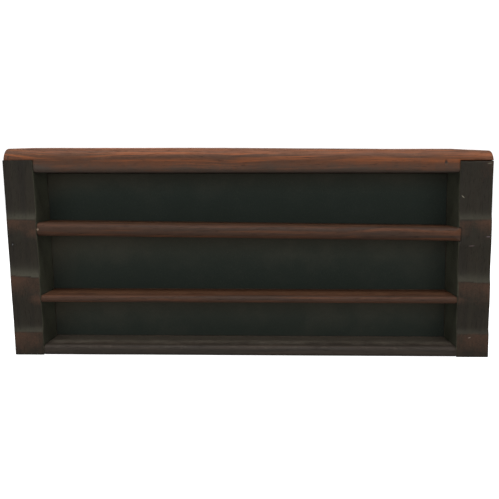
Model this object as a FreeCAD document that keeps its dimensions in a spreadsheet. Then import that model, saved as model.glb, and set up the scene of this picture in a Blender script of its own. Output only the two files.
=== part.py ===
import FreeCAD, Part
import os
import Sketcher
from FreeCAD import Placement, Rotation, Vector

# A three-row wooden rack that holds game pieces on edge. Two end boards with coved front
# edges carry a thick top rail, two thin shelves and a bottom board. A thin back panel sits in
# rebates behind them, faced with cloth in each row. Millimetres, +Z up, rows open towards -Y.
# Everything is drawn from the rack's lower left front corner, and each piece's Placement
# brings it to the origin, which is the centre of the underside.

DIMENSIONS = {
    # Overall size. The old frame has settled out of square, so the top leans to the left.
    "length": 305.0,
    "depth": 28.5,
    "height": 132.0,
    "lean": 2.5,
    # End boards, and the open joint over the right one.
    "left_end_width": 18.8,
    "right_end_width": 20.5,
    "lap_gap": 0.9,
    # Top rail: full height between the ends, thinner where it laps over them.
    "rail_height": 15.6,
    "lap_height": 8.2,
    "rail_top_round": 6.5,
    "rail_lower_round": 4.0,
    "rail_back_round": 2.0,
    "rail_end_round": 1.4,
    "rail_setback": 0.8,
    # Shelves and bottom board. The upper shelf has been set a little out of level.
    "upper_shelf_bottom": 75.4,
    "upper_shelf_thick": 8.4,
    "upper_shelf_drop": 1.4,
    "upper_shelf_let_in": 1.2,
    "lower_shelf_bottom": 34.4,
    "lower_shelf_thick": 4.6,
    "bottom_thick": 6.6,
    "upper_shelf_round": 3.0,
    "lower_shelf_round": 1.9,
    "bottom_round": 2.4,
    # Stopped housings: the tongues on the shelves that go into the end boards.
    "housing_depth": 4.0,
    "housing_stop": 6.0,
    "tongue_margin": 1.1,
    # Back panel in its rebate, and the cloth glued to it.
    "panel_thick": 4.0,
    "panel_rebate": 6.0,
    "panel_bottom": 3.4,
    "panel_top": 120.5,
    "lining_thick": 1.0,
    "lining_gap": 0.3,
    # Coves in the end boards' front edges: lip, deepest point and upper end of each.
    "cove_depth": 1.0,
    "lower_cove_lip": 15.4,
    "lower_cove_deep": 18.8,
    "lower_cove_end": 35.5,
    "middle_cove_lip": 51.2,
    "middle_cove_deep": 56.6,
    "middle_cove_end": 74.0,
    "upper_cove_lip": 87.4,
    "upper_cove_deep": 91.8,
    "upper_cove_end": 122.0,
    "right_cove_drop": 2.8,
    # Wire brads and panel pins.
    "brad_radius": 0.7,
    "brad_head_radius": 1.3,
    "brad_head_thick": 0.6,
    "brad_length": 28.0,
    "pin_radius": 0.5,
    "pin_head_radius": 0.9,
    "pin_head_thick": 0.5,
    "pin_length": 12.0,
    "toe_pin_head_radius": 0.7,
    "toe_pin_inset": 0.9,
    "point_length": 1.6,
}

doc = FreeCAD.newDocument("PieceRack")
sheet = doc.addObject("Spreadsheet::Sheet", "Dims")
for row, (alias, value) in enumerate(DIMENSIONS.items(), start=1):
    sheet.set(f"A{row}", alias)
    sheet.set(f"B{row}", str(value))
    sheet.setAlias(f"B{row}", alias)
doc.recompute()

dims = {alias: float(getattr(sheet, alias)) for alias in DIMENSIONS}
corner = Vector(-dims["length"] / 2, -dims["depth"] / 2, 0)


def left_outer(level):
    """Expression for the rack's left side at a height, with the frame's lean."""
    return f"Dims.lean * (1 - ({level}) / (Dims.height - Dims.lap_height))"


def left_inner(level):
    return f"Dims.left_end_width + {left_outer(level)}"


def right_outer(level):
    return f"Dims.length - Dims.lean * ({level}) / (Dims.height - Dims.lap_height)"


def right_inner(level):
    return f"{right_outer(level)} - Dims.right_end_width"


def number(expression):
    return float(sheet.evalExpression(expression))


# Shared building steps


def new_body(label):
    body = doc.addObject("PartDesign::Body", label)
    body.Label = label
    body.Placement = Placement(corner, Rotation())
    return body


def new_sketch(body, name, role, offset=None):
    """A sketch on one of the body's own origin planes, moved along its normal by offset."""
    sketch = body.newObject("Sketcher::SketchObject", name)
    origin_plane = [f for f in body.Origin.OriginFeatures if f.Role == role][0]
    sketch.AttachmentSupport = [(origin_plane, "")]
    sketch.MapMode = "FlatFace"
    if offset:
        sketch.setExpression("AttachmentOffset.Base.z", offset)
    return sketch


def pin_point(sketch, edge, point, across, up):
    """Ties a sketch point to the spreadsheet by its distances from the two axes."""
    for kind, expression, axis in (("DistanceX", across, -2), ("DistanceY", up, -1)):
        value = number(expression)
        if abs(value) < 1e-9:
            sketch.addConstraint(Sketcher.Constraint("PointOnObject", edge, point, axis))
            continue
        index = sketch.addConstraint(Sketcher.Constraint(kind, -1, 1, edge, point, value))
        sketch.setExpression(f"Constraints[{index}]", expression)


def draw_polygon(sketch, corners):
    """Closed straight-sided outline through corners, each a pair of expressions."""
    points = [Vector(number(across), number(up), 0) for across, up in corners]
    count = len(points)
    for i in range(count):
        sketch.addGeometry(Part.LineSegment(points[i], points[(i + 1) % count]), False)
    for i in range(count):
        sketch.addConstraint(Sketcher.Constraint("Coincident", i, 2, (i + 1) % count, 1))
    for i, (across, up) in enumerate(corners):
        pin_point(sketch, i, 1, across, up)
    return sketch


def draw_cove(sketch, row, drop="0"):
    """Hollow of two arcs that meet at its deepest point, a short one below and a long one above."""
    lip, deep, end = (f"Dims.{row}_cove_{part} - {drop}" for part in ("lip", "deep", "end"))
    depth = dims["cove_depth"]
    for side, mouth in enumerate((lip, end)):
        rise = number(mouth) - number(deep)
        radius = (depth**2 + rise**2) / (2 * depth)
        centre = Vector(depth - radius, number(deep), 0)
        angle = Vector(1, 0, 0).getAngle(Vector(0, number(mouth), 0) - centre)
        circle = Part.Circle(centre, Vector(0, 0, 1), radius)
        span = (-angle, 0) if side == 0 else (0, angle)
        sketch.addGeometry(Part.ArcOfCircle(circle, *span), False)
    front = [Vector(0, number(level), 0) for level in (end, lip)]
    sketch.addGeometry(Part.LineSegment(*front), False)
    for first, second in ((0, 1), (1, 2), (2, 0)):
        sketch.addConstraint(Sketcher.Constraint("Coincident", first, 2, second, 1))
    for arc in (0, 1):
        sketch.addConstraint(Sketcher.Constraint("Horizontal", arc, 3, 1, 1))
    pin_point(sketch, 0, 1, "0", lip)
    pin_point(sketch, 1, 1, "Dims.cove_depth", deep)
    pin_point(sketch, 1, 2, "0", end)
    return sketch


def add_pad(body, sketch, length, backwards=False):
    pad = body.newObject("PartDesign::Pad", sketch.Name + "Pad")
    pad.Profile = sketch
    pad.Reversed = backwards
    pad.setExpression("Length", length)
    return pad


def cut_through(body, sketch, backwards=False):
    pocket = body.newObject("PartDesign::Pocket", sketch.Name + "Pocket")
    pocket.Profile = sketch
    pocket.Type = "ThroughAll"
    pocket.Reversed = backwards
    return pocket


def round_edges(body, name, radius, chosen):
    """Fillets the edges of the body so far whose middle point passes the test."""
    doc.recompute()
    base = body.Tip
    names = []
    for i, edge in enumerate(base.Shape.Edges, start=1):
        middle = edge.valueAt((edge.FirstParameter + edge.LastParameter) / 2)
        if chosen(edge, middle):
            names.append(f"Edge{i}")
    fillet = body.newObject("PartDesign::Fillet", name)
    fillet.Base = (base, names)
    fillet.setExpression("Radius", radius)
    return fillet


def is_long(edge):
    return edge.Length > dims["length"] / 2


# Wooden pieces before they are fitted to each other


def end_blank(side):
    """An end board leaning with the frame, with three coves along its front edge."""
    body = new_body(f"{side}_end_blank")
    top = "Dims.height - Dims.lap_height"
    if side == "right":
        top += " - Dims.lap_gap"
    lower, upper = (left_outer, left_inner) if side == "left" else (right_inner, right_outer)
    outline = ((lower("0"), "0"), (upper("0"), "0"), (upper(top), top), (lower(top), top))
    sketch = draw_polygon(new_sketch(body, f"{side}_end_outline", "XZ_Plane"), outline)
    add_pad(body, sketch, "Dims.depth", True)
    for row in ("lower", "middle", "upper"):
        drop = "Dims.right_cove_drop" if (side, row) == ("right", "middle") else "0"
        cove = draw_cove(new_sketch(body, f"{side}_end_{row}_cove", "YZ_Plane"), row, drop)
        cut_through(body, cove, True)
    return body


def rail_blank():
    """The top rail: a rounded bar, cut away below at both ends to lap over the end boards."""
    body = new_body("top_rail_blank")
    low = "Dims.height - Dims.rail_height"
    lap = "Dims.height - Dims.lap_height"
    section = (("0", low), ("Dims.depth", low), ("Dims.depth", "Dims.height"), ("0", "Dims.height"))
    sketch = draw_polygon(new_sketch(body, "rail_section", "YZ_Plane", "Dims.rail_setback"), section)
    add_pad(body, sketch, f"{right_outer(lap)} - Dims.rail_setback")
    top, front, back = dims["height"], 0.0, dims["depth"]
    ends = (dims["rail_setback"], number(right_outer(lap)))
    round_edges(
        body, "rail_top_rounding", "Dims.rail_top_round",
        lambda e, p: is_long(e) and abs(p.z - top) < 0.01 and abs(p.y - front) < 0.01,
    )
    round_edges(
        body, "rail_lower_rounding", "Dims.rail_lower_round",
        lambda e, p: is_long(e) and abs(p.z - number(low)) < 0.01 and abs(p.y - front) < 0.01,
    )
    round_edges(
        body, "rail_back_rounding", "Dims.rail_back_round",
        lambda e, p: is_long(e) and abs(p.z - top) < 0.01 and abs(p.y - back) < 0.01,
    )
    for side in ("left", "right"):
        if side == "left":
            notch = (("0", "0"), (left_inner(low), "0"), (left_inner(lap), lap), ("0", lap))
        else:
            notch = (
                (right_inner(low), "0"), ("Dims.length + 1", "0"),
                ("Dims.length + 1", lap), (right_inner(lap), lap),
            )
        cut_through(body, draw_polygon(new_sketch(body, f"rail_{side}_notch", "XZ_Plane"), notch), True)
    round_edges(
        body, "rail_end_rounding", "Dims.rail_end_round",
        lambda e, p: (p.x < ends[0] + 0.01 or p.x > ends[1] - 0.01) and p.z > number(lap) + 0.05,
    )
    return body


def add_tongues(body, name, bottoms, thick):
    """Short tongues at both ends, set back from the front, that fill the stopped housings."""
    for side, bottom in zip(("left", "right"), bottoms):
        low = f"{bottom} + Dims.tongue_margin"
        high = f"{bottom} + {thick} - Dims.tongue_margin"
        if side == "left":
            start = f"{left_inner(bottom)} - Dims.housing_depth"
        else:
            start = f"{right_inner(bottom)} + Dims.housing_depth"
        back = "Dims.depth - Dims.panel_thick"
        outline = (("Dims.housing_stop", low), (back, low), (back, high), ("Dims.housing_stop", high))
        sketch = draw_polygon(new_sketch(body, f"{name}_{side}_tongue", "YZ_Plane", start), outline)
        add_pad(body, sketch, "2 * Dims.housing_depth", side == "right")


def shelf_blank(name, drop, let_in="0"):
    """A thin shelf with a rounded front. It drops by twice drop from left to right, and its
    whole right end can be let into the end board."""
    body = new_body(f"{name}_blank")
    thick = f"Dims.{name}_thick"
    left_low = f"(Dims.{name}_bottom + {drop})"
    right_low = f"(Dims.{name}_bottom - {drop})"
    left_high = f"({left_low} + {thick})"
    right_high = f"({right_low} + {thick})"
    outline = (
        (left_inner(left_low), left_low), (f"{right_inner(right_low)} + {let_in}", right_low),
        (f"{right_inner(right_high)} + {let_in}", right_high), (left_inner(left_high), left_high),
    )
    sketch = draw_polygon(new_sketch(body, f"{name}_outline", "XZ_Plane"), outline)
    add_pad(body, sketch, "Dims.depth - Dims.panel_thick", True)
    round_edges(
        body, f"{name}_rounding", f"Dims.{name}_round",
        lambda e, p: is_long(e) and abs(p.y) < 0.01,
    )
    add_tongues(body, name, (left_low, right_low), thick)
    return body


def bottom_blank():
    """The bottom board, as deep as the rack, with its upper front edge rounded."""
    body = new_body("bottom_board_blank")
    thick = "Dims.bottom_thick"
    outline = (
        (left_inner("0"), "0"), (right_inner("0"), "0"),
        (right_inner(thick), thick), (left_inner(thick), thick),
    )
    sketch = draw_polygon(new_sketch(body, "bottom_board_outline", "XZ_Plane"), outline)
    add_pad(body, sketch, "Dims.depth", True)
    round_edges(
        body, "bottom_board_rounding", "Dims.bottom_round",
        lambda e, p: is_long(e) and abs(p.y) < 0.01 and p.z > 1,
    )
    add_tongues(body, "bottom_board", ("0", "0"), thick)
    return body


def panel_blank():
    """The thin back panel, let into the frame on all four sides."""
    body = new_body("back_panel_blank")
    low, high, rebate = "Dims.panel_bottom", "Dims.panel_top", "Dims.panel_rebate"
    outline = (
        (f"{left_inner(low)} - {rebate}", low), (f"{right_inner(low)} + {rebate}", low),
        (f"{right_inner(high)} + {rebate}", high), (f"{left_inner(high)} - {rebate}", high),
    )
    face = "-(Dims.depth - Dims.panel_thick)"
    sketch = draw_polygon(new_sketch(body, "back_panel_outline", "XZ_Plane", face), outline)
    add_pad(body, sketch, "Dims.panel_thick", True)
    return body


def lining(row):
    """A strip of cloth glued to the panel at the back of one row, cut a little small all round."""
    body = new_body(f"{row}_lining")
    drop = "Dims.upper_shelf_drop"
    lower, upper = "Dims.lower_shelf_bottom", "Dims.upper_shelf_bottom"
    lower_top, upper_top = f"{lower} + Dims.lower_shelf_thick", f"{upper} + Dims.upper_shelf_thick"
    rail_bottom = "Dims.height - Dims.rail_height"
    # Heights in the order lower left, lower right, upper right, upper left.
    levels = {
        "lower": ("Dims.bottom_thick", "Dims.bottom_thick", lower, lower),
        "middle": (lower_top, lower_top, f"{upper} - {drop}", f"{upper} + {drop}"),
        "upper": (f"{upper_top} + {drop}", f"{upper_top} - {drop}", rail_bottom, rail_bottom),
    }[row]
    gap = "Dims.lining_gap"
    left_low, right_low = (f"({level} + {gap})" for level in levels[:2])
    right_high, left_high = (f"({level} - {gap})" for level in levels[2:])
    outline = (
        (f"{left_inner(left_low)} + {gap}", left_low), (f"{right_inner(right_low)} - {gap}", right_low),
        (f"{right_inner(right_high)} - {gap}", right_high), (f"{left_inner(left_high)} + {gap}", left_high),
    )
    face = "-(Dims.depth - Dims.panel_thick - Dims.lining_thick)"
    sketch = draw_polygon(new_sketch(body, f"{row}_lining_outline", "XZ_Plane", face), outline)
    add_pad(body, sketch, "Dims.lining_thick", True)
    return body


# Brads and pins: head, shank and point, all on one line


def nails(label, kind, places, head=None):
    """A group of separate nails. Each place is the head's centre and the way the nail points."""
    shafts = []
    length = f"Dims.{kind}_length"
    head = head or f"Dims.{kind}_head_radius"
    for i, (start, way) in enumerate(places):
        turn = Rotation(Vector(0, 0, 1), way)
        tip = way.normalize() * (number(length) - dims["point_length"])
        wire, shank = f"Dims.{kind}_radius", f"{length} - Dims.point_length"
        parts = (
            ("Part::Cylinder", "head", start, {"Radius": head, "Height": f"Dims.{kind}_head_thick"}),
            ("Part::Cylinder", "shank", start, {"Radius": wire, "Height": shank}),
            ("Part::Cone", "point", start + tip, {"Radius1": wire, "Height": "Dims.point_length"}),
        )
        for shape_type, name, place, sizes in parts:
            shape = doc.addObject(shape_type, f"{label}_{name}_{i}")
            for size, expression in sizes.items():
                shape.setExpression(size, expression)
            if name == "point":
                shape.Radius2 = 0
            shape.Placement = Placement(place + corner, turn)
            shafts.append(shape)
    group = doc.addObject("Part::MultiFuse", label)
    group.Shapes = shafts
    return group


def side_nails(label, level_left, level_right):
    """Two nails through each end board, square to its leaning face, into a shelf or board."""
    square = Vector(dims["height"] - dims["lap_height"], 0, dims["lean"]).normalize()
    places = []
    for share in (0.35, 0.72):
        across = share * (dims["depth"] - dims["panel_thick"])
        left = Vector(number(left_outer(str(level_left))), across, level_left)
        right = Vector(number(right_outer(str(level_right))), across, level_right)
        places.append((left, Vector(square)))
        places.append((right, Vector(-square.x, 0, -square.z)))
    return nails(label, "brad", places)


def rail_nails():
    """Two nails at each end, straight down through the rail's laps into the end boards."""
    places = []
    top = str(dims["height"])
    for middle in (
        (number(left_outer(top)) + number(left_inner(top))) / 2,
        (number(right_outer(top)) + number(right_inner(top))) / 2,
    ):
        for share in (0.36, 0.7):
            places.append((Vector(middle, share * dims["depth"], dims["height"]), Vector(0, 0, -1)))
    return nails("top_rail_brads", "brad", places)


def panel_pins():
    """Pins through the back panel into the ends, the rail, both shelves and the bottom board."""
    low, high = dims["panel_bottom"], dims["panel_top"]
    edge = dims["panel_rebate"] / 2
    places = []
    for share in (0.08, 0.36, 0.64, 0.92):
        level = low + share * (high - low)
        places.append((number(left_inner(str(level))) - edge, level))
        places.append((number(right_inner(str(level))) + edge, level))
    shelf_middles = [
        dims["upper_shelf_bottom"] + dims["upper_shelf_thick"] / 2,
        dims["lower_shelf_bottom"] + dims["lower_shelf_thick"] / 2,
    ]
    rail_bottom = dims["height"] - dims["rail_height"]
    rows = [(high + rail_bottom) / 2, *shelf_middles, (low + dims["bottom_thick"]) / 2]
    for level in rows:
        for share in (-0.28, 0.0, 0.28):
            slope = 2 * dims["upper_shelf_drop"] * share if level == shelf_middles[0] else 0
            places.append((dims["length"] * (0.5 + share), level - slope))
    inwards = [(Vector(x, dims["depth"], z), Vector(0, -1, 0)) for x, z in places]
    return nails("back_panel_pins", "pin", inwards)


def toe_pin():
    """One fine pin in the front of the upper shelf, close to the left end board."""
    level = dims["upper_shelf_bottom"] + dims["upper_shelf_drop"] + dims["upper_shelf_thick"] / 2
    place = Vector(number(left_inner(str(level))) + dims["toe_pin_inset"], 0, level)
    return nails("shelf_toe_pin", "pin", [(place, Vector(0, 1, 0))], head="Dims.toe_pin_head_radius")


# Fitting: each piece of wood is cut around what it houses


def fitted(label, blank, tools):
    tool = tools[0]
    if len(tools) > 1:
        tool = doc.addObject("Part::MultiFuse", f"{label}_housings")
        tool.Shapes = tools
    piece = doc.addObject("Part::Cut", label)
    piece.Label = label
    piece.Base = blank
    piece.Tool = tool
    return piece


left_blank, right_blank = end_blank("left"), end_blank("right")
rail = rail_blank()
upper_shelf = shelf_blank("upper_shelf", "Dims.upper_shelf_drop", "Dims.upper_shelf_let_in")
lower_shelf = shelf_blank("lower_shelf", "0")
bottom = bottom_blank()
panel = panel_blank()

upper_level = dims["upper_shelf_bottom"] + dims["upper_shelf_thick"] / 2
lower_level = dims["lower_shelf_bottom"] + dims["lower_shelf_thick"] / 2
rail_brads = rail_nails()
upper_brads = side_nails(
    "upper_shelf_brads", upper_level + dims["upper_shelf_drop"], upper_level - dims["upper_shelf_drop"]
)
lower_brads = side_nails("lower_shelf_brads", lower_level, lower_level)
bottom_brads = side_nails("bottom_board_brads", dims["bottom_thick"] / 2, dims["bottom_thick"] / 2)
pins = panel_pins()
toe = toe_pin()

housed = [upper_shelf, lower_shelf, bottom, panel, rail_brads, upper_brads, lower_brads, bottom_brads, pins]
sub_parts = [
    fitted("left_end", left_blank, housed),
    fitted("right_end", right_blank, housed),
    fitted("top_rail", rail, [panel, rail_brads, pins]),
    fitted("upper_shelf", upper_shelf, [upper_brads, pins, toe]),
    fitted("lower_shelf", lower_shelf, [lower_brads, pins]),
    fitted("bottom_board", bottom, [panel, bottom_brads, pins]),
    fitted("back_panel", panel, [pins]),
    lining("upper"),
    lining("middle"),
    lining("lower"),
    rail_brads,
    upper_brads,
    lower_brads,
    bottom_brads,
    pins,
    toe,
]
doc.recompute()

# Checks, then one STEP file for each sub-part

for item in doc.Objects:
    if "Invalid" in item.State or "Error" in item.State:
        raise RuntimeError(f"{item.Name} failed: {item.State}")
for item in sub_parts:
    if item.Shape.isNull() or not item.Shape.isValid() or not item.Shape.Solids:
        raise RuntimeError(f"{item.Label} has no valid solid")

os.makedirs("parts", exist_ok=True)
for item in sub_parts:
    item.Shape.exportStep(f"parts/{item.Label}.step")
    box = item.Shape.BoundBox
    print(f"{item.Label}: {len(item.Shape.Solids)} solids, {item.Shape.Volume:.0f} mm3, "
          f"{box.XMin:.2f}..{box.XMax:.2f} {box.YMin:.2f}..{box.YMax:.2f} {box.ZMin:.2f}..{box.ZMax:.2f}")
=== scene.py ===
import math

import bmesh
import bpy
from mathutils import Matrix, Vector, noise


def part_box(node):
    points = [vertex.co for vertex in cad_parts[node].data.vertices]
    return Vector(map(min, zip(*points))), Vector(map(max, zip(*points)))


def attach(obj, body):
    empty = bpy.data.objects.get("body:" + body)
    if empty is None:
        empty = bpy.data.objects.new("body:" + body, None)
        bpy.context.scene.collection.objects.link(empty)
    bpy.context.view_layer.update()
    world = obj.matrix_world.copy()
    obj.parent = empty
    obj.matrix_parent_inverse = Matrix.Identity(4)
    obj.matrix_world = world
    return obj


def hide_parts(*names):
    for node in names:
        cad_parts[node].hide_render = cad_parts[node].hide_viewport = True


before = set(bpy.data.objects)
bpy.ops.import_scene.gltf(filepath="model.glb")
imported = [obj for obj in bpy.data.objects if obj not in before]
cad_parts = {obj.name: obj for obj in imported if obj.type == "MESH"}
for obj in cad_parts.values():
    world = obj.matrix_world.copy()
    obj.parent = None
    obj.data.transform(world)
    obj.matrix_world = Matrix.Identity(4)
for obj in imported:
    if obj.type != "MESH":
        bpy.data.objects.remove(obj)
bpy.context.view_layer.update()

MM = 0.001

# ---------------------------------------------------------------------------------------------
# The two end boards.
# Lengths of hardwood stained nearly black, with three shallow coves cut across the front edge of
# each. Fingers have rubbed the stain off the proud parts just under each cove, and the fading of
# that brown band downwards is painted shade. A painted highlight lies on the slope above each lip,
# and the inner faces are painted lighter where little light reaches. The frame has settled out of
# square over the years, so both boards lean a little to the left.
# ---------------------------------------------------------------------------------------------

lean = 2.5 * MM
left_low, left_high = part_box("left_end")
right_low, right_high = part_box("right_end")
front, back = left_low[1], left_high[1]
end_height = left_high[2]
lap_gap = end_height - right_high[2]
left_width = left_high[0] - left_low[0] - lean
right_width = right_high[0] - right_low[0] - lean * right_high[2] / end_height

cove_depth = 1.0 * MM
coves = ((15.4, 18.8, 35.5), (51.2, 56.6, 74.0), (87.4, 91.8, 122.0))  # lip, deepest, end
right_cove_drop = 2.8  # how much lower the middle cove is on the right board
lip_ease = 0.5  # mm over which the lips of the coves are softened
shelf_fall = 2.8 * MM  # how much lower the upper shelf's right end is than its left end
shelf_let_in = 1.2 * MM  # how far the upper shelf goes into the right end board


def left_inner(level):
    """Where the left end board's inner face is at a height."""
    return left_low[0] + left_width + lean * (1 - level / end_height)


def right_inner(level):
    return right_high[0] - right_width - lean * level / end_height


def cove_at(level, rows):
    """Depth of the front edge's hollows at a height, eased a little at the lips."""
    depth = 0.0
    for ease in (-lip_ease, 0.0, lip_ease):
        z = level / MM + ease
        for lip, deep, end in rows:
            if lip < z < end:
                rise = (deep - lip) if z < deep else (end - deep)
                radius = (cove_depth / MM) ** 2 + rise**2
                radius /= 2 * cove_depth / MM
                depth += cove_depth / MM - radius + math.sqrt(radius**2 - (z - deep) ** 2)
    return depth / 3 * MM


def board_ring(low, high, rounds, arcs, counts):
    """Outline of a rounded rectangle, counted round from the middle of its low, low corner.
    arcs gives the steps in half of each corner, counts the steps along each straight."""
    signs = ((1, 1), (-1, 1), (-1, -1), (1, -1))
    ends = ((low[0], low[1]), (high[0], low[1]), (high[0], high[1]), (low[0], high[1]))
    centres = [(e[0] + s[0] * r, e[1] + s[1] * r) for e, s, r in zip(ends, signs, rounds)]

    def on_arc(corner, degrees):
        angle = math.radians(degrees)
        reach = rounds[corner]
        middle = centres[corner]
        return (middle[0] + reach * math.cos(angle), middle[1] + reach * math.sin(angle))

    points = []
    for side in range(4):
        after = (side + 1) % 4
        turn = 270 + 90 * side
        for i in range(arcs[side]):
            points.append(on_arc(side, turn - 45 + 45 * i / arcs[side]))
        start, stop = on_arc(side, turn), on_arc(after, turn)
        steps = counts[side % 2]
        for i in range(steps):
            share = i / steps
            points.append(tuple(a + (b - a) * share for a, b in zip(start, stop)))
        for i in range(arcs[after]):
            points.append(on_arc(after, turn + 45 * i / arcs[after]))
    return points


def eased_ends(start, stop, step, ease, last_ease=None):
    """Places along a board, and how far its outline draws in there to round the two ends."""
    last_ease = last_ease or ease
    turns = [math.radians(a) for a in (0, 30, 60)]
    places = [(start + ease * (1 - math.cos(a)), ease * (1 - math.sin(a))) for a in turns]
    length = stop - start - ease - last_ease
    count = round(length / step)
    places += [(start + ease + length * i / count, 0.0) for i in range(count + 1)]
    for a in reversed(turns):
        places.append((stop - last_ease * (1 - math.cos(a)), last_ease * (1 - math.sin(a))))
    return places


def turn_faces_out(bm):
    bmesh.ops.recalc_face_normals(bm, faces=bm.faces)
    if bm.calc_volume(signed=True) < 0:
        bmesh.ops.reverse_faces(bm, faces=bm.faces)


def loft(rings):
    """Skin over closed rings of points, closed at each end by rings that shrink to a small face."""
    bm = bmesh.new()
    rows = [[bm.verts.new(p) for p in ring] for ring in rings]
    for shrunk in (0.1, 0.35, 0.65, 0.92):
        for ring, place in ((rings[0], 0), (rings[-1], len(rows) + 1)):
            middle = sum((Vector(p) for p in ring), Vector()) / len(ring)
            rows.insert(place, [bm.verts.new(Vector(p).lerp(middle, shrunk)) for p in ring])
    for one, two in zip(rows, rows[1:]):
        for i in range(len(one)):
            j = (i + 1) % len(one)
            bm.faces.new((one[i], one[j], two[j], two[i]))
    bm.faces.new(rows[0])
    bm.faces.new(rows[-1])
    turn_faces_out(bm)
    return bm


def weather(bm, seed, flats=0.07, edges=0.2, exposed=None):
    """Wears a board inwards, in mm: waves and small dents on the flats, more on the edges.
    Writes how near each point is to an edge. exposed says how much wear reaches a place."""
    wave_scale, dent_scale, chip_scale = 38, 210, 130
    chip_threshold = 0.12
    edge_layer = bm.verts.layers.float.new("edge")
    bm.normal_update()
    shift = Vector((seed, 2.3 * seed, -1.7 * seed))
    for v in bm.verts:
        near = min(1.0, (1 - max(abs(c) for c in v.normal)) / 0.29)
        v[edge_layer] = near
    moves = []
    for v in bm.verts:
        broad = noise.noise(v.co * wave_scale + shift)
        fine = noise.noise(v.co * dent_scale + shift)
        chip = max(0.0, noise.noise(v.co * chip_scale - shift) - chip_threshold)
        depth = flats * (1 + 0.8 * broad + 0.25 * fine)
        depth += edges * v[edge_layer] * (0.25 + 2.2 * chip)
        depth *= exposed(v.co, v.normal) if exposed else 1.0
        moves.append(v.normal * depth * MM)
    for v, move in zip(bm.verts, moves):
        v.co -= move


def paint(bm, name, amount):
    """Writes a mask over the surface, from each point and the way it faces."""
    layer = bm.verts.layers.float.new(name)
    bm.normal_update()
    for v in bm.verts:
        v[layer] = max(0.0, min(1.0, amount(v.co, v.normal)))


def finish_piece(bm, name, node, material):
    """Turns the mesh into a piece of the rack that stands in for its plain solid."""
    mesh = bpy.data.meshes.new(name)
    bm.to_mesh(mesh)
    bm.free()
    mesh.shade_smooth()
    mesh.materials.append(material)
    piece = bpy.data.objects.new(name, mesh)
    bpy.context.scene.collection.objects.link(piece)
    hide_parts(node)
    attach(piece, "root")
    return piece


def new_group(name, inputs, outputs):
    """A node group with named sockets. Inputs are name, kind, and default for numbers."""
    group = bpy.data.node_groups.new(name, "ShaderNodeTree")
    for label, kind, default in inputs:
        socket = group.interface.new_socket(label, in_out="INPUT", socket_type="NodeSocket" + kind)
        if default is not None:
            socket.default_value = default
    for label, kind in outputs:
        group.interface.new_socket(label, in_out="OUTPUT", socket_type="NodeSocket" + kind)
    return group, group.nodes.new("NodeGroupInput"), group.nodes.new("NodeGroupOutput")


def feed(tree, source, target):
    """Links a socket, or sets a plain value."""
    if hasattr(source, "is_output"):
        tree.links.new(source, target)
    else:
        target.default_value = source


def math_node(tree, kind, *values):
    node = tree.nodes.new("ShaderNodeMath")
    node.operation = kind
    for value, socket in zip(values, node.inputs):
        feed(tree, value, socket)
    return node.outputs[0]


def noise_node(tree, vector, scale, detail=3.0, rough=0.55, scales=None):
    """Noise at a scale per metre. scales stretches it differently along each axis first."""
    if scales:
        stretch = tree.nodes.new("ShaderNodeVectorMath")
        stretch.operation = "MULTIPLY"
        feed(tree, vector, stretch.inputs[0])
        stretch.inputs[1].default_value = scales
        vector = stretch.outputs[0]
    node = tree.nodes.new("ShaderNodeTexNoise")
    feed(tree, vector, node.inputs["Vector"])
    feed(tree, scale, node.inputs["Scale"])
    node.inputs["Detail"].default_value = detail
    node.inputs["Roughness"].default_value = rough
    return node.outputs["Fac"]


def ramp_node(tree, value, low, high):
    """0 below low, 1 above high, eased between."""
    node = tree.nodes.new("ShaderNodeMapRange")
    node.interpolation_type = "SMOOTHSTEP"
    feed(tree, value, node.inputs["Value"])
    feed(tree, low, node.inputs["From Min"])
    feed(tree, high, node.inputs["From Max"])
    return node.outputs["Result"]


def mix_node(tree, share, one, two, blend="MIX"):
    node = tree.nodes.new("ShaderNodeMix")
    node.data_type = "RGBA"
    node.blend_type = blend
    feed(tree, share, node.inputs["Factor"])
    feed(tree, one, node.inputs[6])
    feed(tree, two, node.inputs[7])
    return node.outputs[2]


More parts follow.
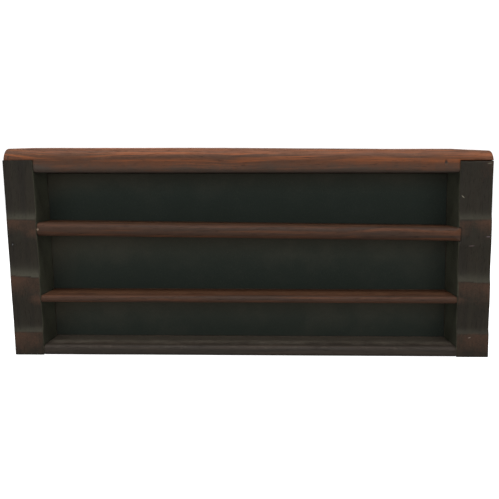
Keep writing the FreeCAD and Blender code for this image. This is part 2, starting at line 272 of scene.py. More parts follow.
def make_wood_figure():
    """Figure of an oily red-brown hardwood: bands, streaks and short dark pores along X."""
    group, given, result = new_group(
        "wood_figure",
        (
            ("Along grain", "Vector", None), ("Light", "Color", None), ("Middle", "Color", None),
            ("Dark", "Color", None), ("Streak strength", "Float", 0.6), ("Pore strength", "Float", 0.5),
        ),
        (("Color", "Color"), ("Height", "Float"), ("Pores", "Float")),
    )
    wander = noise_node(group, given.outputs["Along grain"], 1.0, 2.0, scales=(9, 30, 30))
    wander = math_node(group, "MULTIPLY", math_node(group, "SUBTRACT", wander, 0.5), 0.009)
    move = group.nodes.new("ShaderNodeCombineXYZ")
    feed(group, wander, move.inputs["Y"])
    feed(group, wander, move.inputs["Z"])
    grain = group.nodes.new("ShaderNodeVectorMath")
    feed(group, given.outputs["Along grain"], grain.inputs[0])
    feed(group, move.outputs[0], grain.inputs[1])
    grain = grain.outputs[0]
    bands = ramp_node(group, noise_node(group, grain, 1.0, 2.0, scales=(6, 150, 150)), 0.34, 0.66)
    streaks = ramp_node(group, noise_node(group, grain, 1.0, 3.0, scales=(16, 620, 620)), 0.46, 0.72)
    threads = noise_node(group, grain, 1.0, 2.0, scales=(55, 2100, 2100))
    pores = ramp_node(group, noise_node(group, grain, 1.0, 1.0, scales=(150, 3300, 3300)), 0.63, 0.72)
    color = mix_node(group, bands, given.outputs["Dark"], given.outputs["Middle"])
    strong = math_node(group, "MULTIPLY", streaks, given.outputs["Streak strength"])
    color = mix_node(group, strong, color, given.outputs["Light"])
    fine = ramp_node(group, threads, 0.35, 0.6)
    color = mix_node(group, math_node(group, "MULTIPLY", fine, 0.22), color, (0.02, 0.012, 0.009, 1))
    deep = math_node(group, "MULTIPLY", pores, given.outputs["Pore strength"])
    color = mix_node(group, deep, color, (0.008, 0.005, 0.004, 1))
    height = math_node(group, "MULTIPLY", threads, 0.35)
    height = math_node(group, "SUBTRACT", height, math_node(group, "MULTIPLY", pores, 0.8))
    feed(group, color, result.inputs["Color"])
    feed(group, height, result.inputs["Height"])
    feed(group, pores, result.inputs["Pores"])
    return group


def make_old_finish_and_painted_light():
    """What handling does to a finish, with painted light: bare rubbed places, where the rub mask also
    paints light on shadowed tops, and grime, where the corner mask paints light into shadowed corners
    and shade under the rail.
    """
    group, given, result = new_group(
        "old_finish_and_painted_light",
        (
            ("Place", "Vector", None), ("Finish", "Color", None), ("Bare and painted light", "Color", None),
            ("Grime and painted light", "Color", None), ("Edge", "Float", 0.0), ("Rub and painted light", "Float", 0.0),
            ("Corner dirt and painted light", "Float", 0.0), ("Edge strength", "Float", 0.6),
        ),
        (("Color", "Color"), ("Bare and painted light mask", "Float"), ("Grime and painted light mask", "Float"), ("Cloud", "Float")),
    )
    cloud = noise_node(group, given.outputs["Place"], 95.0, 4.0, 0.6)
    speck = noise_node(group, given.outputs["Place"], 900.0, 3.0, 0.6)
    worn = math_node(group, "MULTIPLY", given.outputs["Edge"], given.outputs["Edge strength"])
    worn = math_node(group, "ADD", worn, given.outputs["Rub and painted light"])
    uneven = math_node(group, "MULTIPLY", math_node(group, "SUBTRACT", cloud, 0.5), 0.9)
    specks = math_node(group, "MULTIPLY", math_node(group, "SUBTRACT", speck, 0.5), 0.5)
    uneven = math_node(group, "ADD", uneven, specks)
    bare_and_painted_light = ramp_node(group, math_node(group, "ADD", worn, uneven), 0.12, 0.95)
    # The corner mask carries painted light and shade, mixed here with random grime.
    grime_and_painted_light = math_node(group, "ADD", given.outputs["Corner dirt and painted light"], math_node(group, "MULTIPLY", uneven, 0.6))
    grime_and_painted_light = ramp_node(group, grime_and_painted_light, 0.15, 0.95)
    color = mix_node(group, bare_and_painted_light, given.outputs["Finish"], given.outputs["Bare and painted light"])
    color = mix_node(group, grime_and_painted_light, color, given.outputs["Grime and painted light"])
    feed(group, color, result.inputs["Color"])
    feed(group, bare_and_painted_light, result.inputs["Bare and painted light mask"])
    feed(group, grime_and_painted_light, result.inputs["Grime and painted light mask"])
    feed(group, cloud, result.inputs["Cloud"])
    return group


wood_figure = make_wood_figure()
old_finish_and_painted_light = make_old_finish_and_painted_light()


def place_group(tree, group, values):
    node = tree.nodes.new("ShaderNodeGroup")
    node.node_tree = group
    for label, value in values.items():
        feed(tree, value, node.inputs[label])
    return node.outputs


def new_material(name):
    material = bpy.data.materials.new(name)
    material.use_nodes = True
    tree = material.node_tree
    return material, tree, tree.nodes["Principled BSDF"]


def mask_node(tree, name):
    node = tree.nodes.new("ShaderNodeAttribute")
    node.attribute_name = name
    return node.outputs["Fac"]


def mark_node(tree, coordinates, middle_at, slope, size):
    """1 in the middle of a small long mark on a front face, fading to 0 at its edge."""
    place = tree.nodes.new("ShaderNodeMapping")
    place.vector_type = "TEXTURE"
    place.inputs["Location"].default_value = Vector(middle_at) * MM
    place.inputs["Rotation"].default_value = (0, -math.radians(slope), 0)
    place.inputs["Scale"].default_value = size
    feed(tree, coordinates, place.inputs["Vector"])
    round_off = tree.nodes.new("ShaderNodeTexGradient")
    round_off.gradient_type = "SPHERICAL"
    feed(tree, place.outputs[0], round_off.inputs["Vector"])
    return ramp_node(tree, round_off.outputs["Fac"], 0.0, 0.6)


def bump_node(tree, height, distance, strength=1.0):
    node = tree.nodes.new("ShaderNodeBump")
    node.inputs["Strength"].default_value = strength
    node.inputs["Distance"].default_value = distance
    feed(tree, height, node.inputs["Height"])
    return node.outputs["Normal"]


def wood_material(name, light, middle, dark, bare_and_painted_light, grime_and_painted_light, grain_axis, gloss, edge_strength,
                  streaks=0.6, pores=0.5, offset=(0, 0, 0), highlight_tint=None, marks=()):
    """Worn, waxed hardwood whose figure runs along grain_axis. Each mark is one scratch or nick
    on the front: its middle, slope in degrees, half length and half width in mm, and colour."""
    material, tree, shader = new_material(name)
    coordinates = tree.nodes.new("ShaderNodeTexCoord").outputs["Object"]
    turn = tree.nodes.new("ShaderNodeMapping")
    turn.inputs["Location"].default_value = offset
    if grain_axis == "Z":
        turn.inputs["Rotation"].default_value = (0, math.radians(90), 0)
    feed(tree, coordinates, turn.inputs["Vector"])
    figure = place_group(tree, wood_figure, {
        "Along grain": turn.outputs[0], "Light": light, "Middle": middle, "Dark": dark,
        "Streak strength": streaks, "Pore strength": pores,
    })
    finish = place_group(tree, old_finish_and_painted_light, {
        "Place": coordinates, "Finish": figure["Color"], "Bare and painted light": bare_and_painted_light, "Grime and painted light": grime_and_painted_light,
        # The rub and corner masks also carry painted light and shade.
        "Edge": mask_node(tree, "edge"), "Rub and painted light": mask_node(tree, "rub_and_painted_light"),
        "Corner dirt and painted light": mask_node(tree, "corner"), "Edge strength": edge_strength,
    })
    color = finish["Color"]
    # A painted highlight, laid where the mesh's highlight mask is.
    if highlight_tint:
        painted_highlight = math_node(tree, "MULTIPLY", mask_node(tree, "painted_highlight"), 0.75)
        color = mix_node(tree, painted_highlight, color, highlight_tint)
    for middle_at, slope, long, wide, tint in marks:
        size = (long * MM, 4 * MM, wide * MM)
        color = mix_node(tree, mark_node(tree, coordinates, middle_at, slope, size), color, tint)
    feed(tree, color, shader.inputs["Base Color"])
    rough = math_node(tree, "MULTIPLY_ADD", finish["Cloud"], 0.22, gloss - 0.11)
    rough = math_node(tree, "MULTIPLY_ADD", finish["Grime and painted light mask"], 0.2, rough)
    rough = math_node(tree, "MULTIPLY_ADD", figure["Pores"], 0.15, rough)
    feed(tree, rough, shader.inputs["Roughness"])
    height = math_node(tree, "ADD", figure["Height"], finish["Cloud"])
    feed(tree, bump_node(tree, height, 0.00012), shader.inputs["Normal"])
    shader.inputs["Specular IOR Level"].default_value = 0.14
    return material


# The pale grime colour paints light onto the inner faces of the boards, and the tint after it is a
# painted highlight for the slope above each lip.
end_material = wood_material(
    "ebonised_wood",
    light=(0.029, 0.024, 0.016, 1), middle=(0.0195, 0.0168, 0.0112, 1), dark=(0.0145, 0.0125, 0.009, 1),
    bare_and_painted_light=(0.06, 0.031, 0.019, 1), grime_and_painted_light=(0.072, 0.075, 0.052, 1),
    grain_axis="Z", gloss=0.56, edge_strength=0.3, streaks=0.35, pores=0.35,
    highlight_tint=(0.06, 0.057, 0.041, 1),
    marks=(
        ((132.3, front / MM, 101.6), -42, 1.5, 0.28, (0.24, 0.22, 0.17, 1)),
        ((148.6, front / MM, 76.9), 2, 1.8, 0.3, (0.13, 0.1, 0.11, 1)),
        ((138.6, front / MM, 71.2), 3, 2.4, 0.35, (0.09, 0.065, 0.065, 1)),
        ((139.8, front / MM, 12.8), 14, 1.1, 0.45, (0.15, 0.11, 0.09, 1)),
        ((147.3, front / MM, 121.9), 4, 1.8, 0.5, (0.1, 0.09, 0.065, 1)),
        ((-148.2, front / MM, 71.5), 70, 0.7, 0.3, (0.12, 0.13, 0.14, 1)),
    ),
)


def end_board(side):
    """One leaning end board, with its coves, worn edges, rubbed bands with painted shade below them, a
    painted highlight above each lip and painted light on its inner face.
    """
    low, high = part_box(f"{side}_end")
    width = left_width if side == "left" else right_width
    inward = 1 if side == "left" else -1
    outer_loss = 0.8 if side == "left" else 0.3  # how much shallower the coves end up outside
    # How strong the painted highlight is above each of the three coves.
    highlight_strength = (0.55, 1.0, 0.75) if side == "left" else (0.25, 0.6, 0.5)
    rows = coves
    if side == "right":
        lip, deep, end = coves[1]
        lowered = (lip - right_cove_drop, deep - right_cove_drop, end - right_cove_drop)
        rows = (coves[0], lowered, coves[2])

    def slant(x, level):
        """The middle cove was cut out of square, so its lip is lower on one side."""
        reach, drop = 12, 1.3
        share = (x - low[0]) / (high[0] - low[0]) - 0.5
        near = math.exp(-(((level / MM - rows[1][0]) / reach) ** 2))
        return -drop * MM * share * near

    shelf_end = (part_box("upper_shelf")[0][2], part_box("upper_shelf")[1][2] - shelf_fall)
    cove_reach = 6 * MM  # how far back from the front edge the coves still shape the board
    corner_radii = (0.9, 0.9, 0.7, 0.7)

    def ring(level, inset):
        inner = left_inner(level) if side == "left" else right_inner(level)
        outer = inner - inward * width
        one = (min(inner, outer) + inset, front + inset)
        two = (max(inner, outer) - inset, back - inset)
        rounds = [max(r * MM - inset, 0.15 * MM) for r in corner_radii]
        outline = board_ring(one, two, rounds, (2, 2, 1, 1), (28, 18))
        points = []
        for x, y in outline:
            nearness = max(0.0, 1 - (y - front) / cove_reach)
            uneven = 1 - outer_loss * min(1.0, max(0.0, abs(x - inner) / width)) ** 2
            hollow = cove_at(level - slant(x, level), rows)
            points.append((x, y + nearness * uneven * hollow, level))
        return points

    top_ease = 0.15 * MM if side == "left" else 0.25 * MM
    levels = eased_ends(0.0, high[2], 0.6 * MM, 0.5 * MM, top_ease)
    bm = loft([ring(level, inset) for level, inset in levels])
    seed = 3.1 if side == "left" else 7.7
    weather(bm, seed, exposed=lambda p, n: 0.1 if p.z > high[2] - 0.4 * MM else 1.0)
    if side == "right":
        gap_mouth, gap_depth = 0.3 * MM, 1.0 * MM  # where the open joint starts to close
        housing = shelf_let_in + 0.05 * MM
        housing_front, set_back = 4 * MM, 1.6 * MM
        for v in bm.verts:
            if v.co.z > high[2] - 0.3 * MM:
                closed = min(1.0, max(0.0, (v.co.y - front - gap_mouth) / gap_depth))
                v.co.z += (lap_gap - 0.05 * MM) * closed
            housed = right_inner(v.co.z) + housing - v.co.x > 0 and v.co.y < front + housing_front
            if housed and shelf_end[0] < v.co.z < shelf_end[1]:
                v.co.y += set_back

    # The band's fall-off downwards is painted shade.
    band_reach = (12, 11, 7)  # mm that the rubbed band spreads down from each lip
    shelf_boxes = [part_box(shelf) for shelf in ("upper_shelf", "lower_shelf")]
    shelf_levels = [(under[2] + top[2]) / 2 for under, top in shelf_boxes]

    def wear_and_painted_light(point, normal):
        """Rubbed bare wood, strongest under a cove's lip and fading downwards as painted shade, and
        beside the ends of the shelves. The right board is also rubbed at its outer top corner. On the
        front only."""
        share = (point.x - low[0]) / (high[0] - low[0])
        to_shelf = share if side == "left" else 1 - share
        amount = 0.0
        for (lip, _, _), reach in zip(rows, band_reach):
            fade = (reach + 5 * to_shelf) * MM
            under = lip * MM + slant(point.x, point.z) - point.z
            if -0.8 * MM < under < 4 * fade:
                rise = min(1.0, (under + 0.8 * MM) / (1.8 * MM))
                amount = max(amount, rise * math.exp(-((max(under, 0) / fade) ** 2)))
        amount *= 1.03 - 0.38 * to_shelf
        for level in shelf_levels:
            near = math.exp(-(((point.z - level) / (4.5 * MM)) ** 2))
            amount = max(amount, 0.85 * near * math.exp(-(((1 - to_shelf) / 0.5) ** 2)))
        if side == "right":
            at_top = math.exp(-(((high[2] - point.z) / (9 * MM)) ** 2))
            outer = 1 - to_shelf
            amount = 0.9 * amount + 0.3 * outer**4 + 0.55 * at_top * outer**2
        return 0.76 * amount * max(0.0, -normal.y) ** 1.5

    def corner(point, normal):
        """Painted light on the inner face inside the rows: the pale grime colour, thicker towards the
        back.
        """
        if normal.x * inward < 0.6:
            return 0.0
        return 0.5 + 0.4 * (point.y - front) / (back - front)

    def highlight_band(point, normal):
        """A painted highlight on the slope above each lip."""
        amount = 0.0
        for (lip, deep, _), strength in zip(rows, highlight_strength):
            over = point.z - lip * MM - slant(point.x, point.z)
            if over > 0:
                amount = max(amount, strength * math.exp(-((over / ((deep - lip) * 0.9 * MM)) ** 2)))
        return amount * max(0.0, -normal.y)

    paint(bm, "rub_and_painted_light", wear_and_painted_light)
    paint(bm, "corner", corner)
    paint(bm, "painted_highlight", highlight_band)
    return finish_piece(bm, f"{side}_end_board", f"{side}_end", end_material)


end_board("left")
end_board("right")

# ---------------------------------------------------------------------------------------------
# The bottom board.
# A thin board of the same wood as the shelves but dull and grey with handling, tongued into both
# ends and flush with them below. Its top is painted lighter towards the back and the ends of the row,
# where shade falls.
# ---------------------------------------------------------------------------------------------

bottom_low, bottom_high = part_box("bottom_board")

# Its bare and grime colours, paler than the wood, paint light onto the top of the board.
bottom_material = wood_material(
    "dull_bottom_wood",
    light=(0.055, 0.039, 0.028, 1), middle=(0.039, 0.03, 0.023, 1), dark=(0.029, 0.024, 0.019, 1),
    bare_and_painted_light=(0.17, 0.145, 0.113, 1), grime_and_painted_light=(0.07, 0.064, 0.049, 1),
    grain_axis="X", gloss=0.6, edge_strength=0.08, streaks=0.4, pores=0.4, offset=(0.3, 0.1, 0.2),
)


def painted_row_light(low_y, high_y):
    """Painted light: the pale grime colour thickens towards the back of a row and towards its two ends,
    lightening the shade there.
    """

    def amount(point, normal):
        depth = (point.y - low_y) / (high_y - low_y)
        ends = min(point.x - left_inner(point.z), right_inner(point.z) - point.x)
        return 0.3 * depth**2 + 0.35 * math.exp(-max(ends, 0) / (3 * MM)) - 0.1

    return amount


def shelf_board(name, node, material, levels, depth, rounds, seed, let_in=0.0):
    """A board between the end boards. levels gives its underside and top at a place along it."""
    start = left_inner(levels(0.0)[0])
    stop = right_inner(levels(1.0)[0]) + let_in
    rings = []
    for x, inset in eased_ends(start, stop, 1.5 * MM, 0.3 * MM):
        under, top = levels((x - start) / (stop - start))
        radii = [max(r * MM - inset, 0.15 * MM) for r in rounds]
        square = 1.0
        if let_in:
            square = min(1.0, max(0.25, (stop - x - 0.6 * MM) / (3 * MM)))
        radii = [max(r * square, 0.15 * MM) for r in radii]
        near, far = (front + inset, under + inset), (depth - inset, top - inset)
        outline = board_ring(near, far, radii, (4, 1, 1, 4), (16, 3))
        rings.append([(x, y, z) for y, z in outline])
    bm = loft(rings)
    weather(bm, seed)

    def wear_and_painted_light(point, normal):
        """Painted light on top, stronger towards the back where shade falls, and a little wear along
        the nosing.
        """
        inside = max(0.0, min(1.0, (point.y - front - 2 * MM) / (14 * MM)))
        return max(0.0, normal.z) ** 2 * inside + 0.15 * max(0.0, normal.z - normal.y - 0.9)

    paint(bm, "rub_and_painted_light", wear_and_painted_light)
    paint(bm, "corner", painted_row_light(front, depth))
    return finish_piece(bm, name, node, material)


shelf_board(
    "worn_bottom_board", "bottom_board", bottom_material,
    lambda share: (0.0, bottom_high[2]), bottom_high[1], (2.0, 0.5, 0.5, 2.4), 11.3,
)

# ---------------------------------------------------------------------------------------------
# The two shelves.
# Thin red-brown boards with rounded fronts, housed in the end boards and nailed through them. The
# upper one is thicker, sits a little out of level and is let into the right end board.
# ---------------------------------------------------------------------------------------------

# The pale bare and grime colours paint light onto the top and the back corners of each shelf.
shelf_material = wood_material(
    "red_brown_shelf_wood",
    light=(0.115, 0.042, 0.018, 1), middle=(0.065, 0.029, 0.016, 1), dark=(0.042, 0.024, 0.016, 1),
    bare_and_painted_light=(0.145, 0.068, 0.036, 1), grime_and_painted_light=(0.085, 0.058, 0.038, 1),
    grain_axis="X", gloss=0.62, edge_strength=0.06, offset=(0.1, 0.4, 0.15),
)

lining_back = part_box("back_panel")[0][1]
upper_low, upper_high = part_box("upper_shelf")
lower_low, lower_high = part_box("lower_shelf")
upper_thick = upper_high[2] - upper_low[2] - shelf_fall


def upper_levels(share):
    under = upper_low[2] + shelf_fall * (1 - share)
    return under, under + upper_thick


shelf_board(
    "worn_upper_shelf", "upper_shelf", shelf_material,
    upper_levels, lining_back, (3.4, 0.3, 0.3, 3.6), 17.9, let_in=shelf_let_in,
)
shelf_board(
    "worn_lower_shelf", "lower_shelf", shelf_material,
    lambda share: (lower_low[2], lower_high[2]), lining_back, (2.0, 0.3, 0.3, 2.1), 23.3,
)

# ---------------------------------------------------------------------------------------------
# The top rail.
# A thick waxed bar of streaked red-brown wood, rounded over the front by years of hands, cut away
# below at both ends to lap over the end boards. The joint over the right board has opened. Painted
# shade darkens the lower part of its front.
# ---------------------------------------------------------------------------------------------

rail_low, rail_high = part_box("top_rail")
rail_rounds = (2.6, 0.6, 2.0, 9.0)  # front below, back below, back above, front above
# Its grime colour, darker than the wood, also paints shade along the bottom of the rail.
rail_material = wood_material(
    "streaked_rail_wood",
    light=(0.235, 0.066, 0.018, 1), middle=(0.125, 0.041, 0.015, 1), dark=(0.062, 0.027, 0.014, 1),
    bare_and_painted_light=(0.17, 0.077, 0.038, 1), grime_and_painted_light=(0.056, 0.041, 0.032, 1),
    grain_axis="X", gloss=0.58, edge_strength=0.1, streaks=0.85, offset=(0.0, 0.02, 0.33),
    marks=(
        ((-148.7, front / MM, 125.6), 86, 1.7, 0.35, (0.012, 0.008, 0.006, 1)),
        ((-148.5, front / MM, 122.9), 0, 0.6, 0.4, (0.2, 0.15, 0.11, 1)),
    ),
)


def rail_outline(x, inset):
    """Section of the rail. Its top is worn down at both ends and lower on the right."""
    left_dip, slope, right_dip = 0.5 * MM, 0.75 * MM, 1.1 * MM
    along = (x - rail_low[0]) / (rail_high[0] - rail_low[0])
    dip = left_dip * max(0.0, 1 - along / 0.05)
    dip += slope * max(0.0, min(1.0, (along - 0.45) / 0.35))
    dip += right_dip * max(0.0, (along - 0.92) / 0.08)
    radii = [max(r * MM - inset, 0.2 * MM) for r in rail_rounds]
    one = (front + inset, rail_low[2] + inset)
    two = (back - inset, rail_high[2] - inset - dip)
    return board_ring(one, two, radii, (4, 1, 2, 10), (14, 6))


def lap_outline(x, inset):
    """The same section where the rail laps over an end board, so cut off flat below."""
    outline = rail_outline(x, inset)
    level = end_height
    cut = [i for i, (_, z) in enumerate(outline) if z < level]
    kept = [i for i in range(len(outline)) if i not in cut]
    first = next(i for i in cut if (i - 1) % len(outline) in kept)
    order = [(first + i) % len(outline) for i in range(len(cut))]
    start = outline[(first - 1) % len(outline)][0]
    stop = outline[(order[-1] + 1) % len(outline)][0]
    for i, place in enumerate(order):
        outline[place] = (start + (stop - start) * (i + 0.5) / len(order), level)
    return outline


def top_rail():
    left_shoulder = left_inner(rail_low[2]) + 0.25 * MM
    right_shoulder = right_inner(rail_low[2]) - 0.1 * MM
    hole = Vector((120.9 * MM, front, 122.6 * MM))
    hole_radius, hole_depth, hole_stretch = 0.6 * MM, 0.9 * MM, 1.7
    places = eased_ends(rail_low[0], rail_high[0], 1.5 * MM, 0.4 * MM, 0.6 * MM)
    fine = [hole.x + 0.3 * MM * i for i in range(-5, 6)]
    places = [p for p in places if abs(p[0] - hole.x) > 1.8 * MM]
    places += [(x, 0.0) for x in fine]
    wall = 0.12 * MM
    shoulders = (left_shoulder, right_shoulder)
    clear = [p for p in places if min(abs(p[0] - x) for x in shoulders) > 3 * wall]
    clear += [(left_shoulder - wall, 0.0), (left_shoulder, 0.0)]
    clear += [(right_shoulder, 0.0), (right_shoulder + wall, 0.0)]
    rings = []
    for x, inset in sorted(clear):
        between = left_shoulder - wall / 2 < x < right_shoulder + wall / 2
        outline = rail_outline(x, inset) if between else lap_outline(x, inset)
        rings.append([(x, y, z) for y, z in outline])
    bm = loft(rings)

    def open_to_wear(point, normal):
        """The underside of a lap is hidden, so it keeps its shape."""
        return 0.15 if normal.z < -0.5 and point.z > end_height - MM else 1.0

    weather(bm, 31.1, flats=0.09, edges=0.12, exposed=open_to_wear)
    for v in bm.verts:
        reach = math.hypot(v.co.x - hole.x, (v.co.z - hole.z) / hole_stretch)
        if v.co.y < front + 3 * MM:
            v.co.y += hole_depth * math.exp(-((reach / hole_radius) ** 4))
    paint(bm, "rub_and_painted_light", lambda p, n: 0.35 * max(0.0, n.z * 0.8 - n.y * 0.6 - 0.55))

    def corner(point, normal):
        """Darker in the hole and in the left shoulder, and painted shade along the bottom of the rail.
        """
        from_hole = math.hypot(point.x - hole.x, (point.z - hole.z) / hole_stretch)
        pit = math.exp(-((from_hole / hole_radius) ** 2))
        above = point.z - rail_low[2]
        # Painted shade, deepest at the underside and fading up the front.
        low = max(0.0, 0.85 - above / (14 * MM))
        shoulder = math.exp(-(((point.x - left_shoulder) / (9 * MM)) ** 2))
        shoulder *= max(0.0, 1 - above / (7 * MM))
        return 0.8 * pit + low + 0.8 * shoulder

    paint(bm, "corner", corner)
    return finish_piece(bm, "worn_top_rail", "top_rail", rail_material)


top_rail()

# ---------------------------------------------------------------------------------------------
# The back panel.
# A thin stained board let into rebates all round and pinned from behind. Only its back and the
# lines beside the cloth are ever seen, and it was never polished.
# ---------------------------------------------------------------------------------------------

panel_material = wood_material(
    "plain_panel_wood",
    light=(0.12, 0.075, 0.045, 1), middle=(0.075, 0.048, 0.03, 1), dark=(0.045, 0.03, 0.02, 1),
    bare_and_painted_light=(0.12, 0.08, 0.05, 1), grime_and_painted_light=(0.03, 0.022, 0.016, 1),
    grain_axis="X", gloss=0.68, edge_strength=0.0, offset=(0.5, 0.3, 0.7), pores=0.35,
)


def wear_material(node, material):
    """Gives a piece that keeps its own shape a better finish."""
    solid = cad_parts[node]
    for place in range(len(solid.material_slots)):
        solid.material_slots[place].material = material


wear_material("back_panel", panel_material)

# ---------------------------------------------------------------------------------------------
# The cloth linings.
# Strips of dark green wool cloth glued to the panel at the back of each row, cut a little small
# all round. Each is lighter and browner towards its top, and the nap is flattened in patches.
# ---------------------------------------------------------------------------------------------


def make_cloth_nap():
    """Felted wool: a faint weave under matted fibres, with flattened patches."""
    group, given, result = new_group(
        "cloth_nap",
        (
            ("Place", "Vector", None), ("Fresh", "Color", None), ("Faded", "Color", None),
            ("Fade", "Float", 0.0),
        ),
        (("Color", "Color"), ("Height", "Float"), ("Flattened", "Float")),
    )
    fibre = noise_node(group, given.outputs["Place"], 1.0, 4.0, 0.7, scales=(1500, 1500, 900))
    threads = noise_node(group, given.outputs["Place"], 1.0, 1.0, 0.5, scales=(500, 500, 2600))
    patch = ramp_node(group, noise_node(group, given.outputs["Place"], 42.0, 4.0, 0.6), 0.4, 0.68)
    share = math_node(group, "ADD", given.outputs["Fade"], math_node(group, "MULTIPLY", patch, 0.12))
    share = ramp_node(group, share, 0.15, 1.1)
    color = mix_node(group, share, given.outputs["Fresh"], given.outputs["Faded"])
    fleck = ramp_node(group, fibre, 0.5, 0.75)
    color = mix_node(group, math_node(group, "MULTIPLY", fleck, 0.2), color, (0.07, 0.075, 0.055, 1))
    height = math_node(group, "ADD", fibre, math_node(group, "MULTIPLY", threads, 0.4))
    feed(group, color, result.inputs["Color"])
    feed(group, height, result.inputs["Height"])
    feed(group, patch, result.inputs["Flattened"])
    return group


cloth_nap = make_cloth_nap()
cloth_material, cloth_tree, cloth_shader = new_material("green_wool_cloth")
cloth_place = cloth_tree.nodes.new("ShaderNodeTexCoord").outputs["Object"]
nap = place_group(cloth_tree, cloth_nap, {
    "Place": cloth_place, "Fresh": (0.0155, 0.0215, 0.0172, 1), "Faded": (0.047, 0.042, 0.029, 1),
    "Fade": mask_node(cloth_tree, "fade"),
})
feed(cloth_tree, nap["Color"], cloth_shader.inputs["Base Color"])
cloth_rough = math_node(cloth_tree, "MULTIPLY_ADD", nap["Flattened"], -0.08, 0.95)
feed(cloth_tree, cloth_rough, cloth_shader.inputs["Roughness"])
feed(cloth_tree, bump_node(cloth_tree, nap["Height"], 0.0002), cloth_shader.inputs["Normal"])
cloth_shader.inputs["Specular IOR Level"].default_value = 0.2
cloth_shader.inputs["Sheen Weight"].default_value = 0.12
cloth_shader.inputs["Sheen Roughness"].default_value = 0.5


def lining(row, seed, browned, floor_at, ceiling_at):
    """A strip of cloth between two boards. floor_at and ceiling_at give their faces along it.
    browned is how brown it is at its bottom and at its top."""
    low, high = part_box(f"{row}_lining")
    gap, frayed = 0.3 * MM, 0.18 * MM
    sunk, swelling, fuzziness = 0.16, 0.12, 0.04  # mm behind the flat face, and how it varies
    thick = high[1] - low[1]
    rings = []
    middle = (low[2] + high[2]) / 2
    start, stop = left_inner(middle) + gap, right_inner(middle) - gap
    for x, inset in eased_ends(start, stop, 1.5 * MM, 0.25 * MM):
        share = (x - start) / (stop - start)
        fray = frayed * noise.noise(Vector((x * 300, seed, 0)))
        bottom = floor_at(share) + gap + abs(fray)
        top = ceiling_at(share) - gap - abs(fray)
        one, two = (low[1] + inset, bottom + inset), (high[1] - inset, top - inset)
        outline = board_ring(one, two, [0.25 * MM] * 4, (1, 1, 1, 1), (1, 24))
        skew = lean / end_height
        rings.append([(x - (z - middle) * skew, y, z) for y, z in outline])
    bm = loft(rings)
    for v in bm.verts:
        if v.co.y < low[1] + thick / 2:
            swell = noise.noise(v.co * 60 + Vector((seed, 0, 0)))
            fuzz = noise.noise(v.co * 500)
            v.co.y += MM * (sunk + swelling * swell + fuzziness * fuzz)

    def browner_upwards(point, normal):
        """Browner towards the top, and more so near the left end."""
        high_up = max(0.0, (point.z - low[2]) / (high[2] - low[2]))
        by_hands = 0.5 * math.exp(-(point.x - start) / (14 * MM)) * high_up
        return browned[0] + (browned[1] - browned[0]) * high_up**2.2 + by_hands

    paint(bm, "fade", browner_upwards)
    piece = finish_piece(bm, f"{row}_row_cloth", f"{row}_lining", cloth_material)
    return piece


lining("lower", 1.0, (0.3, 0.9), lambda share: bottom_high[2], lambda share: lower_low[2])
lining("middle", 2.0, (0.2, 0.85), lambda share: lower_high[2], lambda share: upper_levels(share)[0])
lining("upper", 3.0, (0.05, 0.7), lambda share: upper_levels(share)[1], lambda share: rail_low[2])

# ---------------------------------------------------------------------------------------------
# The nails.
# Steel wire brads through the end boards and the rail's laps, and fine pins in the back. All have
# gone brown and dull, except one pin at the left end of the upper shelf that fingers keep bright.
# ---------------------------------------------------------------------------------------------


def steel_material(name, bright, rust, rust_from, gloss):
    material, tree, shader = new_material(name)
    place = tree.nodes.new("ShaderNodeTexCoord").outputs["Object"]
    bloom = ramp_node(tree, noise_node(tree, place, 900.0, 5.0, 0.65), rust_from, rust_from + 0.25)
    feed(tree, mix_node(tree, bloom, bright, rust), shader.inputs["Base Color"])
    rusted = math_node(tree, "MULTIPLY", bloom, 0.85)
    feed(tree, math_node(tree, "SUBTRACT", 1.0, rusted), shader.inputs["Metallic"])
    feed(tree, math_node(tree, "MULTIPLY_ADD", bloom, 0.4, gloss), shader.inputs["Roughness"])
    pits = noise_node(tree, place, 2600.0, 3.0, 0.6)
    feed(tree, bump_node(tree, pits, 0.00006), shader.inputs["Normal"])
    return material


brown_steel = steel_material(
    "browned_nail_steel", bright=(0.28, 0.25, 0.22, 1), rust=(0.07, 0.035, 0.02, 1),
    rust_from=0.38, gloss=0.42,
)
rubbed_steel = steel_material(
    "rubbed_pin_steel", bright=(0.2, 0.15, 0.11, 1), rust=(0.12, 0.07, 0.04, 1),
    rust_from=0.55, gloss=0.5,
)


def rail_brads():
    """The four brads in the rail's laps, driven flush with its worn top."""
    low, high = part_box("top_rail_brads")
    head, shank = 1.3 * MM, 0.7 * MM
    steps = 14
    # Profile of the head: share of its radius, and mm below the crown.
    shape = ((0.0, 0.0), (0.6, -0.02), (0.92, -0.09), (1.0, -0.22), (0.98, -0.5), (0.54, -0.75))
    bm = bmesh.new()
    for x in (low[0] + head, high[0] - head):
        for y in (low[1] + head, high[1] - head):
            top = rail_outline(x, 0.0)
            crown = max(z for _, z in top)
            rings = [(reach * head, crown + drop * MM) for reach, drop in shape]
            rings += [(shank, crown - 6 * MM), (shank, crown - 20 * MM)]
            rings += [(0.5 * shank, low[2] + 0.8 * MM), (0.0, low[2])]
            last = None
            for reach, z in rings:
                count = 1 if reach == 0.0 else steps
                ring = []
                for i in range(count):
                    turn = 2 * math.pi * i / steps
                    at = (x + reach * math.cos(turn), y + reach * math.sin(turn), z)
                    ring.append(bm.verts.new(at))
                if last:
                    for i in range(steps):
                        j = (i + 1) % steps
                        corners = [last[i % len(last)], last[j % len(last)]]
                        corners += [ring[j % count], ring[i % count]]
                        kept = [c for n, c in enumerate(corners) if c not in corners[:n]]
                        bm.faces.new(kept)
                last = ring
    turn_faces_out(bm)
    return finish_piece(bm, "sunk_rail_brads", "top_rail_brads", brown_steel)


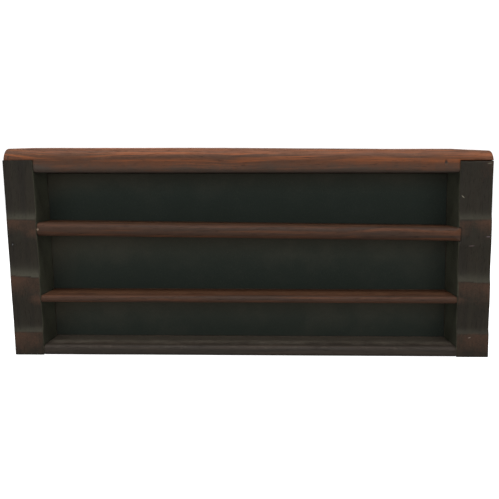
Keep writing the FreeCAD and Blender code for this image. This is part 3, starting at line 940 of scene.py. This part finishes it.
rail_brads()
for group_of_nails in (
    "upper_shelf_brads", "lower_shelf_brads", "bottom_board_brads", "back_panel_pins",
):
    wear_material(group_of_nails, brown_steel)
wear_material("shelf_toe_pin", rubbed_steel)

# ---------------------------------------------------------------------------------------------
# The studio.
# A plain white floor under a soft overhead light, with wide soft lights in front and behind, and
# a camera set just below the height of the rail, close to the rack's middle line.
# ---------------------------------------------------------------------------------------------


def make_floor():
    bm = bmesh.new()
    bmesh.ops.create_circle(bm, cap_ends=True, segments=96, radius=6.0)
    mesh = bpy.data.meshes.new("white_floor")
    bm.to_mesh(mesh)
    bm.free()
    material, tree, shader = new_material("white_floor_paint")
    shader.inputs["Base Color"].default_value = (0.4, 0.4, 0.4, 1)
    shader.inputs["Roughness"].default_value = 0.9
    shader.inputs["Specular IOR Level"].default_value = 0.0
    shader.inputs["Emission Color"].default_value = (1, 1, 1, 1)
    seen = tree.nodes.new("ShaderNodeLightPath").outputs["Is Camera Ray"]
    feed(tree, math_node(tree, "MULTIPLY", seen, 0.98), shader.inputs["Emission Strength"])
    mesh.materials.append(material)
    floor = bpy.data.objects.new("white_floor", mesh)
    bpy.context.scene.collection.objects.link(floor)


def make_world():
    """White to the eye, but dim as a light, so that the studio lamps shape the rack."""
    world = bpy.data.worlds.new("studio_air")
    bpy.context.scene.world = world
    world.use_nodes = True
    tree = world.node_tree
    seen = tree.nodes.new("ShaderNodeLightPath").outputs["Is Camera Ray"]
    strength = math_node(tree, "MULTIPLY_ADD", seen, 1.0, 0.1)
    feed(tree, strength, tree.nodes["Background"].inputs["Strength"])
    tree.nodes["Background"].inputs["Color"].default_value = (1, 1, 1, 1)


def soft_lamp(name, place, aim, size, watts):
    lamp = bpy.data.lights.new(name, "AREA")
    lamp.shape = "RECTANGLE"
    lamp.size, lamp.size_y = size
    lamp.energy = watts
    holder = bpy.data.objects.new(name, lamp)
    holder.location = place
    holder.rotation_euler = (Vector(aim) - Vector(place)).to_track_quat("-Z", "Y").to_euler()
    bpy.context.scene.collection.objects.link(holder)


make_floor()
make_world()
soft_lamp("overhead_lamp", (0.0, -0.12, 0.9), (0, 0, 0.1), (1.1, 0.6), 13.0)
soft_lamp("front_lamp", (0.0, -1.3, 0.42), (0, 0, 0.06), (2.8, 0.8), 14.5)
soft_lamp("back_lamp", (0.0, 1.4, 0.7), (0, 0, 0.06), (1.6, 0.8), 12.0)

camera_data = bpy.data.cameras.new("camera")
camera_data.sensor_width = 36.0
camera_data.lens = 41.38
camera = bpy.data.objects.new("camera", camera_data)
camera.location = (0.0073, -0.37, 0.1113)
camera.rotation_euler = (math.radians(90 - 6.83), 0.0, math.radians(1.046))
bpy.context.scene.collection.objects.link(camera)
bpy.context.scene.camera = camera
bpy.context.scene.view_settings.view_transform = "Standard"
